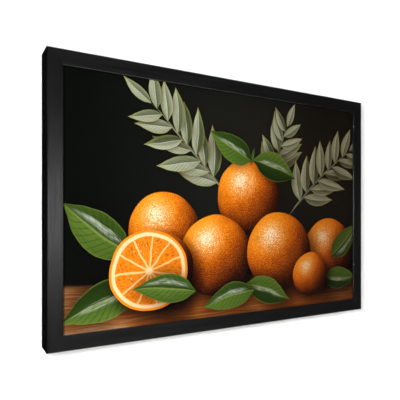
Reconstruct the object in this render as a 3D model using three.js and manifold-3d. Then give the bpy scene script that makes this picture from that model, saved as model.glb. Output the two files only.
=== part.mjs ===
// A canvas picture in a black wooden frame, which hangs on a wall.
//
// Four mitred rails make the frame, and V-shaped nails hold its corners. Each rail has a rabbet behind its
// lip, where the canvas sits. The canvas is wrapped round four stretcher bars, whose tongue and slot corners
// are spread by wooden keys. Sheet metal clips, screwed to the frame, hold it in. A sawtooth hanger on the
// top rail takes the nail in the wall, and two pads keep the bottom of the frame off the wall.
//
// Millimetres. X runs right, Y into the wall and Z up. The origin is where the wall's nail bears in the
// hanger's middle notch, taken on the plane of the wall.

import * as THREE from 'three';
import { mergeVertices } from 'three/addons/utils/BufferGeometryUtils.js';
import Module from 'manifold-3d';

const wasm = await Module();
wasm.setup();

// Driving dimensions.
const CANVAS_WIDTH = 762;
const CANVAS_HEIGHT = 508;
const CANVAS_THICKNESS = 0.8;
const CANVAS_FLAP = 22;
const FACE_WIDTH = 29;
const FRAME_DEPTH = 51;
const LIP_DEPTH = 4;
const RABBET_WIDTH = 11.5;
const RABBET_PLAY = 1.5;
const PAD_THICKNESS = 4;
const HANGER_DROP = 12;

// The gap left where two pieces rest on each other, and how far each bar stops short of its mitre.
const GAP = 0.3;
const MITRE_GAP = 0.2;

// Rounding of the rails' long edges.
const OUTER_ARRIS = 2;
const LIP_ARRIS = 2;
const ARC_STEPS = 5;

// The stretcher's front is a bead along the outer edge, which holds the canvas clear of the rest of the bar.
const STRETCHER = { width: 38, depth: 19, bead: 6, fall: 2.5 };
const TONGUE = { margin: 4, thickness: 4, fromFront: 5.5 };

// Two keys share a corner, one behind the other, each this far behind the stretcher's front.
const KEY = { length: 30, sunk: 10, butt: 12, tip: 4, thickness: 2.4, fromFront: [12.4, 15.6] };

// Fastenings.
const V_NAIL = { leg: 5, thickness: 0.7, height: 10, sunk: 0.5, insets: [5, 12.5] };
const CLIP = { width: 20, thickness: 1.2, edge: 3, foot: 17, holeRadius: 2.2 };
const SCREW = { headRadius: 3.5, headHeight: 1.8, shankRadius: 1.5, shank: 12 };
const SCREW_INSET = 9;
const HANGER = { length: 48, height: 10, thickness: 1, rise: 2.2, flat: 8, ramp: 3 };
const TEETH = { count: 7, pitch: 4, depth: 2 };
const HANGER_NAIL = { headRadius: 1.8, headHeight: 0.7, shankRadius: 0.6, shank: 12 };
const HANGER_NAIL_ACROSS = 20;
const HANGER_NAIL_UP = 3;
const PAD = { radius: 6, edge: 1, inset: 25 };
const ROUND_SIDES = 16;

// Sizes that follow.
const WALL_WIDTH = FACE_WIDTH - RABBET_WIDTH;
const OUTER_WIDTH = CANVAS_WIDTH + 2 * (RABBET_PLAY + WALL_WIDTH);
const OUTER_HEIGHT = CANVAS_HEIGHT + 2 * (RABBET_PLAY + WALL_WIDTH);
const CENTRE_Z = HANGER_DROP - OUTER_HEIGHT / 2;
const BACK_Y = -PAD_THICKNESS;
const FRONT_Y = BACK_Y - FRAME_DEPTH;
const CANVAS_FRONT_Y = FRONT_Y + LIP_DEPTH + GAP;
const STRETCHER_FRONT_Y = CANVAS_FRONT_Y + CANVAS_THICKNESS + GAP;
const STRETCHER_BACK_Y = STRETCHER_FRONT_Y + STRETCHER.depth;
const CANVAS_BACK_Y = STRETCHER_BACK_Y + GAP + CANVAS_THICKNESS;
const STRETCHER_INSET = WALL_WIDTH + RABBET_PLAY + CANVAS_THICKNESS + GAP;

// The four sides are built alike, as the bottom one, and turned about the picture's centre. reach is the
// distance from that centre to the side's outer edge, and clips are places along the side.
const SIDES = [
  { name: 'bottom', turn: 0, length: OUTER_WIDTH, reach: OUTER_HEIGHT / 2, clips: [-220, 220] },
  { name: 'left', turn: Math.PI / 2, length: OUTER_HEIGHT, reach: OUTER_WIDTH / 2, clips: [0] },
  { name: 'top', turn: Math.PI, length: OUTER_WIDTH, reach: OUTER_HEIGHT / 2, clips: [-220, 220] },
  { name: 'right', turn: -Math.PI / 2, length: OUTER_HEIGHT, reach: OUTER_WIDTH / 2, clips: [0] },
];

// The corners are built alike, as the bottom left one, and turned. across and up say where each one is.
const CORNERS = [
  { name: 'bottom_left', turn: 0, across: -1, up: -1 },
  { name: 'top_left', turn: Math.PI / 2, across: -1, up: 1 },
  { name: 'top_right', turn: Math.PI, across: 1, up: 1 },
  { name: 'bottom_right', turn: -Math.PI / 2, across: 1, up: -1 },
];

// Materials.

const finish = (color, roughness, metalness = 0) =>
  new THREE.MeshStandardMaterial({ color, roughness, metalness, flatShading: true });

const blackPaint = () => finish(0x17171a, 0.42);
const pine = () => finish(0xc9a46e, 0.7);
const paleWood = () => finish(0xd8bd8c, 0.7);
const printedCanvas = () => finish(0x2a1e12, 0.75);
const zincPlate = () => finish(0xb9bcc0, 0.35, 1);
const bareSteel = () => finish(0x8d8f92, 0.4, 1);
const greyFelt = () => finish(0x55524e, 0.95);

// Solids. A closed geometry becomes a solid that can be cut, and a solid becomes a geometry again.

function solidOf(geometry) {
  geometry.deleteAttribute('normal');
  geometry.deleteAttribute('uv');
  const merged = mergeVertices(geometry, 1e-4);
  const vertProperties = new Float32Array(merged.attributes.position.array);
  const triVerts = new Uint32Array(merged.index.array);
  return new wasm.Manifold(new wasm.Mesh({ numProp: 3, vertProperties, triVerts }));
}

function geometryOf(solid) {
  const { vertProperties, triVerts } = solid.getMesh();
  const geometry = new THREE.BufferGeometry();
  geometry.setAttribute('position', new THREE.BufferAttribute(new Float32Array(vertProperties), 3));
  geometry.setIndex(new THREE.BufferAttribute(new Uint32Array(triVerts), 1));
  geometry.computeVertexNormals();
  return geometry;
}

const shapeOf = (points) => new THREE.Shape(points.map(([a, b]) => new THREE.Vector2(a, b)));

function block([x0, y0, z0], [x1, y1, z1]) {
  const box = new THREE.BoxGeometry(x1 - x0, y1 - y0, z1 - z0);
  return solidOf(box.translate((x0 + x1) / 2, (y0 + y1) / 2, (z0 + z1) / 2));
}

// A plate with an outline of [x, z] points, between y0 and y1.
function plate(outline, y0, y1) {
  const sheet = new THREE.ExtrudeGeometry(shapeOf(outline), { depth: y1 - y0, bevelEnabled: false });
  return solidOf(sheet.rotateX(Math.PI / 2).translate(0, y1, 0));
}

// A round post along Y, between y0 and y1.
function post(radius, x, y0, y1, z) {
  const round = new THREE.CylinderGeometry(radius, radius, y1 - y0, ROUND_SIDES);
  return solidOf(round.translate(x, (y0 + y1) / 2, z));
}

// A straight bar along X with a section in Y and Z, centred on x = 0.
const ALONG_X = new THREE.Matrix4().makeBasis(
  new THREE.Vector3(0, 1, 0),
  new THREE.Vector3(0, 0, 1),
  new THREE.Vector3(1, 0, 0),
);

function barGeometry(section, length) {
  const options = { depth: length, bevelEnabled: false, curveSegments: ARC_STEPS };
  return new THREE.ExtrudeGeometry(section, options).applyMatrix4(ALONG_X).translate(-length / 2, 0, 0);
}

// The same with its ends cut at 45 degrees. length is that of its outer edge, at z = 0.
function mitredBar(section, length) {
  const bar = barGeometry(section, length);
  const places = bar.attributes.position;
  for (let i = 0; i < places.count; i += 1) {
    const half = length / 2 - places.getZ(i) - MITRE_GAP;
    places.setX(i, Math.sign(places.getX(i)) * half);
  }
  return solidOf(bar);
}

// Frame rails.

function railSection() {
  const section = new THREE.Shape();
  section.moveTo(BACK_Y, 0);
  section.lineTo(FRONT_Y + OUTER_ARRIS, 0);
  section.absarc(FRONT_Y + OUTER_ARRIS, OUTER_ARRIS, OUTER_ARRIS, -Math.PI / 2, -Math.PI, true);
  section.lineTo(FRONT_Y, FACE_WIDTH - LIP_ARRIS);
  section.absarc(FRONT_Y + LIP_ARRIS, FACE_WIDTH - LIP_ARRIS, LIP_ARRIS, Math.PI, Math.PI / 2, true);
  section.lineTo(FRONT_Y + LIP_DEPTH, FACE_WIDTH);
  section.lineTo(FRONT_Y + LIP_DEPTH, WALL_WIDTH);
  section.lineTo(BACK_Y, WALL_WIDTH);
  return section;
}

// A V-shaped nail at the bottom left corner, and the slot that takes it.
function vNailOutline(inset, margin) {
  const near = inset - margin;
  const inner = inset + V_NAIL.thickness + margin;
  const far = inset + V_NAIL.leg + margin;
  return [[near, near], [far, near], [far, inner], [inner, inner], [inner, far], [near, far]];
}

function vNail(inset) {
  const top = BACK_Y - V_NAIL.sunk;
  return plate(vNailOutline(inset, 0), top - V_NAIL.height, top);
}

function vNailSlot(inset) {
  const bottom = BACK_Y - V_NAIL.sunk - V_NAIL.height - GAP;
  return plate(vNailOutline(inset, GAP), bottom, BACK_Y + GAP);
}

// A hole in the rail's back for a screw or nail, whose shank has a gap round it.
function pilotHole(pin, x, inset) {
  return post(pin.shankRadius + GAP, x, BACK_Y - pin.shank, BACK_Y + GAP, inset);
}

function rail(side) {
  let solid = mitredBar(railSection(), side.length);
  for (const inset of V_NAIL.insets) {
    const slot = vNailSlot(inset).translate([-side.length / 2, 0, 0]);
    solid = solid.subtract(slot).subtract(slot.mirror([1, 0, 0]));
  }
  for (const x of side.clips) {
    solid = solid.subtract(pilotHole(SCREW, x, SCREW_INSET));
  }
  if (side.name === 'top') {
    const inset = HANGER_DROP - HANGER_NAIL_UP;
    for (const x of [-HANGER_NAIL_ACROSS, HANGER_NAIL_ACROSS]) {
      solid = solid.subtract(pilotHole(HANGER_NAIL, x, inset));
    }
  }
  return solid;
}

// Stretcher bars. Each has a tongue on its left end, and in its right end a slot for the next bar's tongue.

function stretcherSection() {
  const { width, bead, fall } = STRETCHER;
  return shapeOf([
    [STRETCHER_FRONT_Y, 0],
    [STRETCHER_FRONT_Y, bead],
    [STRETCHER_FRONT_Y + fall, width],
    [STRETCHER_BACK_Y, width],
    [STRETCHER_BACK_Y, 0],
  ]);
}

// A key's outline starts at the corner inside the bars and runs along X. Its upper edge tapers to the tip,
// which is sunk in a pocket of the bar across the corner.
const keyTaper = (x) => GAP + KEY.tip + ((x + KEY.sunk) * (KEY.butt - KEY.tip)) / KEY.length;

function keyOutline() {
  const tip = -KEY.sunk;
  const butt = KEY.length - KEY.sunk;
  return [[tip, GAP], [butt, GAP], [butt, keyTaper(butt)], [tip, keyTaper(tip)]];
}

function keyPocketOutline() {
  const tip = -KEY.sunk - GAP;
  return [[tip, 0], [GAP, 0], [GAP, keyTaper(GAP) + GAP], [tip, keyTaper(tip) + GAP]];
}

// The corner's second key runs along Z: its outline is the first one's turned over the diagonal.
const overDiagonal = (outline) => outline.map(([x, z]) => [z, x]);

function keyLayer(outline, layer, margin) {
  const front = STRETCHER_FRONT_Y + KEY.fromFront[layer];
  return plate(outline, front - margin, front + KEY.thickness + margin);
}

function stretcherBar(side) {
  const { width } = STRETCHER;
  const { margin, thickness, fromFront } = TONGUE;
  const end = side.length / 2 - STRETCHER_INSET;
  const front = STRETCHER_FRONT_Y + fromFront;
  const back = front + thickness;
  const tongue = block([-end + margin, front, margin], [-end + width, back, width - margin]);
  const slot = block(
    [end - width + margin - GAP, front - GAP, margin - GAP],
    [end + GAP, back + GAP, width + GAP],
  );
  const pocketOutline = overDiagonal(keyPocketOutline());
  const pocket = (layer) => keyLayer(pocketOutline, layer, GAP).translate([width - end, 0, width]);
  const bar = mitredBar(stretcherSection(), 2 * end).add(tongue).subtract(slot);
  return bar.subtract(pocket(1)).subtract(pocket(0).mirror([1, 0, 0]));
}

// The canvas covers the front and the outer sides of the bars, and turns in over their backs.

function canvas() {
  const across = CANVAS_WIDTH / 2;
  const up = CANVAS_HEIGHT / 2;
  const thick = CANVAS_THICKNESS;
  const outside = block([-across, CANVAS_FRONT_Y, -up], [across, CANVAS_BACK_Y, up]);
  const inside = block(
    [-across + thick, CANVAS_FRONT_Y + thick, -up + thick],
    [across - thick, CANVAS_BACK_Y - thick, up - thick],
  );
  const mouth = block(
    [-across + CANVAS_FLAP, STRETCHER_BACK_Y, -up + CANVAS_FLAP],
    [across - CANVAS_FLAP, BACK_Y, up - CANVAS_FLAP],
  );
  return outside.subtract(inside).subtract(mouth);
}

// Fastenings.

// A screw or nail whose head rests on y = 0 and whose point is towards -Y.
function pinGeometry({ headRadius, headHeight, shankRadius, shank }) {
  const profile = [
    [0, -shank],
    [shankRadius, -shank + 2 * shankRadius],
    [shankRadius, 0],
    [headRadius, 0],
    [headRadius, headHeight * 0.5],
    [headRadius * 0.7, headHeight * 0.9],
    [0, headHeight],
  ];
  return new THREE.LatheGeometry(profile.map(([r, y]) => new THREE.Vector2(r, y)), ROUND_SIDES);
}

// A stepped clip. Its upper leg lies on the rail's back, and its foot presses on the back of the canvas.
function offsetClip() {
  const { width, thickness, edge, foot, holeRadius } = CLIP;
  const high = BACK_Y + GAP;
  const low = CANVAS_BACK_Y + GAP;
  const riser = WALL_WIDTH + GAP;
  const section = shapeOf([
    [high, edge],
    [high + thickness, edge],
    [high + thickness, riser + thickness],
    [low + thickness, riser + thickness],
    [low + thickness, riser + foot],
    [low, riser + foot],
    [low, riser],
    [high, riser],
  ]);
  return solidOf(barGeometry(section, width)).subtract(post(holeRadius, 0, BACK_Y, 0, SCREW_INSET));
}

// The hanger's strip stands off the wood between its two flat ends, and its lower edge is toothed.
function sawtoothHanger() {
  const { length, height, thickness, rise, flat, ramp } = HANGER;
  const end = length / 2;
  const foot = end - flat;
  const raised = foot - ramp;
  const underside = [[-end, 0], [-foot, 0], [-raised, rise], [raised, rise], [foot, 0], [end, 0]];
  const topside = underside.map(([x, y]) => [x, y + thickness]).reverse();
  const bowed = new THREE.ExtrudeGeometry(shapeOf([...underside, ...topside]), {
    depth: height,
    bevelEnabled: false,
  });
  const teeth = [];
  for (let i = 0; i < TEETH.count; i += 1) {
    const notch = (i - (TEETH.count - 1) / 2) * TEETH.pitch;
    teeth.push([notch - TEETH.pitch / 2, -TEETH.depth], [notch, 0]);
  }
  const lastTip = (TEETH.count * TEETH.pitch) / 2;
  const top = height - TEETH.depth;
  const outline = [
    [-end, -TEETH.depth],
    ...teeth,
    [lastTip, -TEETH.depth],
    [end, -TEETH.depth],
    [end, top],
    [-end, top],
  ];
  let hanger = solidOf(bowed.translate(0, BACK_Y + GAP, -TEETH.depth)).intersect(plate(outline, BACK_Y, 0));
  for (const x of [-HANGER_NAIL_ACROSS, HANGER_NAIL_ACROSS]) {
    hanger = hanger.subtract(post(HANGER_NAIL.shankRadius + GAP, x, BACK_Y, 0, HANGER_NAIL_UP));
  }
  return hanger;
}

function padGeometry() {
  const { radius, edge } = PAD;
  const profile = [
    [0, BACK_Y + GAP],
    [radius, BACK_Y + GAP],
    [radius, -edge],
    [radius - edge, 0],
    [0, 0],
  ];
  return new THREE.LatheGeometry(profile.map(([r, y]) => new THREE.Vector2(r, y)), ROUND_SIDES * 2);
}

// The assembly.

function piece(name, geometry, material, x = 0, y = 0, z = 0) {
  const mesh = new THREE.Mesh(geometry, material);
  mesh.name = name;
  mesh.position.set(x, y, z);
  return mesh;
}

function sideGroup(side) {
  const group = new THREE.Group();
  group.rotation.y = side.turn;
  const outer = -side.reach;
  group.add(piece(`frame_rail_${side.name}`, geometryOf(rail(side)), blackPaint(), 0, 0, outer));
  const barZ = outer + STRETCHER_INSET;
  group.add(piece(`stretcher_bar_${side.name}`, geometryOf(stretcherBar(side)), pine(), 0, 0, barZ));
  const headY = BACK_Y + GAP + CLIP.thickness + GAP;
  side.clips.forEach((x, i) => {
    const place = side.clips.length > 1 ? `${side.name}_${i + 1}` : side.name;
    group.add(piece(`canvas_clip_${place}`, geometryOf(offsetClip()), zincPlate(), x, 0, outer));
    group.add(piece(`clip_screw_${place}`, pinGeometry(SCREW), bareSteel(), x, headY, outer + SCREW_INSET));
  });
  return group;
}

function cornerGroup(corner) {
  const group = new THREE.Group();
  group.position.set((corner.across * OUTER_WIDTH) / 2, 0, (corner.up * OUTER_HEIGHT) / 2);
  group.rotation.y = corner.turn;
  V_NAIL.insets.forEach((inset, i) => {
    group.add(piece(`v_nail_${corner.name}_${i + 1}`, geometryOf(vNail(inset)), bareSteel()));
  });
  const inner = STRETCHER_INSET + STRETCHER.width;
  [keyOutline(), overDiagonal(keyOutline())].forEach((outline, i) => {
    const key = geometryOf(keyLayer(outline, i, 0));
    group.add(piece(`corner_key_${corner.name}_${i + 1}`, key, paleWood(), inner, 0, inner));
  });
  return group;
}

function hangerGroup() {
  const group = new THREE.Group();
  group.add(piece('sawtooth_hanger', geometryOf(sawtoothHanger()), zincPlate()));
  const headY = BACK_Y + GAP + HANGER.thickness + GAP;
  for (const [name, side] of [['left', -1], ['right', 1]]) {
    const x = side * HANGER_NAIL_ACROSS;
    const nail = pinGeometry(HANGER_NAIL);
    group.add(piece(`hanger_nail_${name}`, nail, bareSteel(), x, headY, HANGER_NAIL_UP));
    const padX = side * (OUTER_WIDTH / 2 - PAD.inset);
    const padZ = CENTRE_Z - OUTER_HEIGHT / 2 + WALL_WIDTH / 2;
    group.add(piece(`wall_pad_${name}`, padGeometry(), greyFelt(), padX, 0, padZ));
  }
  return group;
}

const picture = new THREE.Group();
picture.position.z = CENTRE_Z;
picture.add(piece('canvas', geometryOf(canvas()), printedCanvas()));
picture.add(...SIDES.map(sideGroup), ...CORNERS.map(cornerGroup));

const framedCanvas = new THREE.Group();
framedCanvas.add(picture, hangerGroup());

export default framedCanvas;
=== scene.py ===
"""A canvas still life in a satin black wooden frame, hung on a white wall.

Metres, in the frame's own axes: X runs right, Y into the wall and Z up, and the wall is the plane y = 0.
"""

import math
import random
from functools import cache, partialmethod

import bmesh
import bpy
from mathutils import Matrix, Vector


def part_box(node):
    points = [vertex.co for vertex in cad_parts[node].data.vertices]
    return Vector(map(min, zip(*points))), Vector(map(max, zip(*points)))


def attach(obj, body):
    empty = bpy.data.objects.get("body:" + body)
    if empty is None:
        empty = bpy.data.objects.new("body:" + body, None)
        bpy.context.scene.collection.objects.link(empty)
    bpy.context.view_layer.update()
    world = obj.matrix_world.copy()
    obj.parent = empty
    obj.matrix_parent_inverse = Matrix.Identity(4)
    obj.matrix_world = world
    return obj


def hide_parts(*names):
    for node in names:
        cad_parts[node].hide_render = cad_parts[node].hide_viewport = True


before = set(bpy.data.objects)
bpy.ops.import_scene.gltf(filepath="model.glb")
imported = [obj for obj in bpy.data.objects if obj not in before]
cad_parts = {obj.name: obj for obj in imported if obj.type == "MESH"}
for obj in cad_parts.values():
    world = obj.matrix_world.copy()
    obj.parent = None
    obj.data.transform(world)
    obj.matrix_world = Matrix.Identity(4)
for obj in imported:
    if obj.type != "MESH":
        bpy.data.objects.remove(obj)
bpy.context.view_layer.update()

MM = 0.001
SIDES = ("bottom", "left", "top", "right")
CORNERS = ("bottom_left", "top_left", "top_right", "bottom_right")

# The frame's and the canvas's places, read from their solids.
OUTER_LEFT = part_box("frame_rail_left")[0].x
OUTER_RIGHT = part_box("frame_rail_right")[1].x
OUTER_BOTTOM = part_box("frame_rail_bottom")[0].z
OUTER_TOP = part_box("frame_rail_top")[1].z
FRONT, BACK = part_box("frame_rail_top")[0].y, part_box("frame_rail_top")[1].y
FACE_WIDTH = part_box("frame_rail_left")[1].x - OUTER_LEFT
CANVAS_LOW, CANVAS_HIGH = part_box("canvas")
CANVAS_HALF = (CANVAS_HIGH - CANVAS_LOW) / 2
CENTRE = Vector(((OUTER_LEFT + OUTER_RIGHT) / 2, FRONT, (OUTER_BOTTOM + OUTER_TOP) / 2))
RABBET_WIDTH = 11.5 * MM
LIP_DEPTH = 4 * MM


# ---- Shader arithmetic ----


class Signal:
    """A number or colour that varies over a surface. Sums and products of signals are Math nodes."""

    def __init__(self, socket):
        self.socket = socket
        self.tree = socket.id_data

    def math(self, operation, *others, clamp=False):
        return add_node(self.tree, "Math", enumerate((self, *others)), operation=operation, use_clamp=clamp)

    __add__ = __radd__ = partialmethod(math, "ADD")
    __sub__ = partialmethod(math, "SUBTRACT")
    __rsub__ = partialmethod(math, "MULTIPLY_ADD", -1.0)
    __mul__ = __rmul__ = partialmethod(math, "MULTIPLY")
    __truediv__ = partialmethod(math, "DIVIDE")
    clamped = partialmethod(math, "ADD", 0.0, clamp=True)
    positive = partialmethod(math, "MAXIMUM", 0.0)
    below = partialmethod(math, "LESS_THAN")
    root = partialmethod(math, "POWER", 0.5)
    sine = partialmethod(math, "SINE")
    size = partialmethod(math, "ABSOLUTE")

    def __rtruediv__(self, other):
        return self.math("POWER", -1.0) * other

    def smooth(self, low, high):
        """0 at low and 1 at high, with a soft start and end."""
        inputs = {"Value": self, "From Min": low, "From Max": high}
        return add_node(self.tree, "MapRange", inputs, "Result", interpolation_type="SMOOTHSTEP")

    def fade(self, start, end):
        """1 at start and 0 at end, with a soft start and end."""
        return 1.0 - self.smooth(start, end)


class Place(Signal):
    """A place or direction that varies over a surface. Its sums and products are Vector Math nodes."""

    def vector_math(self, operation, *others, output=0):
        return add_node(self.tree, "VectorMath", enumerate((self, *others)), output, operation=operation)

    __add__ = partialmethod(vector_math, "ADD")
    __sub__ = partialmethod(vector_math, "SUBTRACT")
    __mul__ = partialmethod(vector_math, "MULTIPLY")
    dot = partialmethod(vector_math, "DOT_PRODUCT", output="Value")
    length = partialmethod(vector_math, "LENGTH", output="Value")

    def split(self):
        node = add_node(self.tree, "SeparateXYZ", {0: self}).socket.node
        return [Signal(output) for output in node.outputs]

    def stretched(self, scale, offset=(0, 0, 0)):
        return add_node(self.tree, "Mapping", {"Vector": self, "Location": offset, "Scale": scale})


def join(value, slot):
    """Feeds an input with a signal, or sets it to a constant."""
    if isinstance(value, Signal):
        slot.id_data.links.new(value.socket, slot)
    elif slot.type == "RGBA":
        slot.default_value = (*value, 1.0)
    else:
        slot.default_value = value


def reading(socket):
    return (Place if socket.type == "VECTOR" else Signal)(socket)


def add_node(tree, kind, inputs=(), output=0, **settings):
    """Adds a shader node with its settings and its inputs, and gives one of its outputs."""
    node = tree.nodes.new("ShaderNode" + kind)
    for name, setting in settings.items():
        setattr(node, name, setting)
    for slot, value in dict(inputs).items():
        join(value, node.inputs[slot])
    return reading(node.outputs[output])


def tree_of(values):
    """The tree that the first signal among some values belongs to."""
    return next(value.tree for value in values if isinstance(value, Signal))


def combine(*parts):
    return add_node(tree_of(parts), "CombineXYZ", enumerate(parts))


def mix(kind, factor, a, b, **settings):
    """Goes from a to b as the factor goes from 0 to 1."""
    number = ("FLOAT", "VECTOR", "RGBA").index(kind)
    inputs = {0: factor, 2 * number + 2: a, 2 * number + 3: b}
    return add_node(tree_of((factor, a, b)), "Mix", inputs, number, data_type=kind, **settings)


def tint(factor, a, b, blend="MIX"):
    """Goes from one colour to another."""
    return mix("RGBA", factor, a, b, blend_type=blend)


def ramp(factor, *stops):
    """A colour ramp, from stops that each give a position and then its colour."""
    shown = add_node(factor.tree, "ValToRGB", {0: factor})
    elements = shown.socket.node.color_ramp.elements
    while len(elements) < len(stops):
        elements.new(1.0)
    for element, (position, *shade) in zip(elements, stops):
        element.position = position
        element.color = (*shade, 1.0)
    return shown


def noise(place, scale, detail=2.0, roughness=0.5, distortion=0.0, output="Fac"):
    inputs = {"Vector": place, "Scale": scale, "Detail": detail, "Roughness": roughness}
    return add_node(place.tree, "TexNoise", inputs | {"Distortion": distortion}, output)


def cells(place, scale, feature="F1", output="Distance"):
    return add_node(place.tree, "TexVoronoi", {"Vector": place, "Scale": scale}, output, feature=feature)


def bump(height, strength, distance):
    return add_node(height.tree, "Bump", {"Height": height, "Strength": strength, "Distance": distance})


def add_socket(tree, name, way, kind):
    kinds = {"VALUE": "NodeSocketFloat", "VECTOR": "NodeSocketVector", "RGBA": "NodeSocketColor"}
    tree.interface.new_socket(name, in_out=way, socket_type=kinds[kind])


def new_group(name, **inputs):
    """Starts a node group from its inputs' names and kinds, and gives its tree and those inputs."""
    tree = bpy.data.node_groups.new(name, "ShaderNodeTree")
    for label, kind in inputs.items():
        add_socket(tree, label, "INPUT", kind)
    entry = tree.nodes.new("NodeGroupInput")
    return tree, [reading(entry.outputs[label]) for label in inputs]


def end_group(tree, **results):
    """Gives a node group its outputs."""
    for label, result in results.items():
        add_socket(tree, label, "OUTPUT", result.socket.type)
    end = tree.nodes.new("NodeGroupOutput")
    for label, result in results.items():
        join(result, end.inputs[label])
    return tree


def place_group(group, **values):
    """Places a node group and gives its outputs by name."""
    node = tree_of(values.values()).nodes.new("ShaderNodeGroup")
    node.node_tree = group
    for name, value in values.items():
        join(value, node.inputs[name])
    return {output.name: reading(output) for output in node.outputs}


def new_material(name):
    """A new material, and a point's place on the object in it."""
    material = bpy.data.materials.new(name)
    material.use_nodes = True
    return material, add_node(material.node_tree, "TexCoord", output="Object")


def finish(material, **channels):
    """Feeds a material's one Principled shader, by the names of its inputs."""
    shader = material.node_tree.nodes["Principled BSDF"]
    for name, value in channels.items():
        join(value, shader.inputs[name.replace("_", " ")])
    return material


# ---- The painted still life ----

# Each motif is laid over the last. Spot is a point's place on the motif that shows there, with the motif's
# own tone as its middle number, Kind says what the motif is made of, and Shade is the shadow on it.
STATE = {"Spot": "VECTOR", "Kind": "VALUE", "Shade": "VALUE"}
BARE, PEEL, GLOSSY_LEAF, CUT_FACE, PALE_LEAF = 0.0, 1.0, 2.0, 3.0, 4.0
PAINTED_LIGHT = Vector((-0.46, 0.58, 0.67)).normalized()
PAINTED_GLINT = Vector((-0.27, 0.84, 0.42)).normalized()
TABLE_EDGE = -1.56
SEGMENTS = 11

# Decimetres from the picture's middle: centre, radius, height as a share of the radius, and tone.
BACK_FRUIT = (
    ((-1.66, -0.60), 0.80, 1.0, 0.31),
    ((2.86, -1.12), 0.82, 0.97, 0.62),
)
MAIN_FRUIT = (
    ((0.42, 0.16), 0.86, 0.98, 0.15),
    ((-0.46, -1.12), 0.90, 0.97, 0.47),
    ((1.28, -1.10), 0.94, 0.98, 0.83),
)
FRONT_FRUIT = (((2.24, -1.70), 0.55, 0.98, 0.05),)
CUT_FRUIT_BACK = ((-1.90, -1.38), 0.86, 0.96, 0.9)
CUT_FRUIT = ((-2.02, -1.37), 0.84, 0.97, 0.4)

# Stem's base, angle in degrees, length and sideways bend, how many leaves, a leaf's length and half
# width, and a seed.
BACK_SPRAYS = (
    ((-0.10, 0.00), 127, 2.75, 0.34, 15, 1.16, 0.185, 4),
    ((1.02, 0.40), 79, 1.56, -0.20, 10, 0.98, 0.165, 9),
    ((1.52, -0.30), 46, 2.75, -0.30, 15, 1.08, 0.175, 6),
)
STEM_WIDTH = 0.030

# Base, angle in degrees, length, half width, bend and tone.
BROAD_LEAVES = (
    ((-2.42, -1.02), 150, 1.62, 0.40, -0.5, 0.35),
    ((-2.20, -1.66), 194, 1.66, 0.38, 0.5, 0.80),
    ((2.95, -1.30), 36, 1.20, 0.30, 0.5, 0.25),
    ((2.70, -1.80), -8, 1.15, 0.28, 0.4, 0.65),
)
STEM_LEAVES = (
    ((0.46, 0.90), 72, 0.40, 0.045, 0.6, 0.30),
    ((0.50, 0.98), 160, 1.25, 0.31, -0.6, 0.55),
    ((0.52, 1.00), -8, 1.30, 0.32, -0.6, 0.90),
)
FRONT_LEAVES = (
    ((-0.98, -1.84), 170, 1.42, 0.30, 0.4, 0.20),
    ((0.30, -1.80), -14, 1.35, 0.30, -0.4, 0.70),
    ((0.54, -1.94), 187, 1.36, 0.28, 0.4, 0.45),
)


def lay_over(tree, mask, laid, motif, shadow):
    """Ends a group that lays a motif, shown inside its mask, over what was laid, which it shadows."""
    (spot, kind, _), (new_spot, new_kind) = laid, motif
    return end_group(
        tree,
        Spot=mix("VECTOR", mask, spot, new_spot),
        Kind=mix("FLOAT", mask, kind, new_kind),
        Shade=mix("FLOAT", mask, shadow, 1.0),
    )


def lay_fruit_group():
    """Lays one round fruit, or the face of a cut one, and its shadow."""
    own = {"Centre": "VECTOR", "Scale": "VECTOR", "Sort": "VALUE"}
    tree, (place, *laid, centre, scale, sort) = new_group("Lay fruit", Place="VECTOR", **STATE, **own)
    local = (place - centre) * scale
    flat = local * (1, 0, 1)
    mask = flat.length().below(1.0)
    fallen = (flat + (-0.20, 0, 0.24)).length()
    shadow = laid[2] * (fallen.smooth(0.72, 1.42) * 0.88 + 0.12)
    return lay_over(tree, mask, laid, (local, sort), shadow)


def lay_leaf_group():
    """Lays one leaf, or a stem, which is a very narrow leaf, and its shadow."""
    own = dict.fromkeys(("Base", "Along", "Across"), "VECTOR")
    own |= dict.fromkeys(("Bend", "Tone", "Sort"), "VALUE")
    tree, given = new_group("Lay leaf", Place="VECTOR", **STATE, **own)
    place, *laid, base, ahead, aside, bend, tone, sort = given
    offset = place - base
    along = offset.dot(ahead)
    across = offset.dot(aside) - bend * along * along
    half_width = leaf_outline(along)
    mask = across.size().below(half_width)
    spot = combine(along, tone, across / half_width)
    halo = combine(along - 0.5, 0.0, across) * (1.75, 0, 0.62)
    shadow = laid[2] * (halo.length().smooth(0.45, 1.15) * 0.6 + 0.4)
    return lay_over(tree, mask, laid, (spot, sort), shadow)


def leaf_outline(along):
    """A leaf's half width from its stalk, at 0, to its tip, at 1."""
    width = add_node(along.tree, "FloatCurve", {"Value": along})
    mapping = width.socket.node.mapping
    points = mapping.curves[0].points
    points[0].location = (0.0, 0.0)
    points[1].location = (1.0, 0.0)
    for place in ((0.06, 0.26), (0.30, 0.93), (0.45, 1.0), (0.70, 0.72), (0.90, 0.22)):
        points.new(*place)
    mapping.update()
    return width


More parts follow.
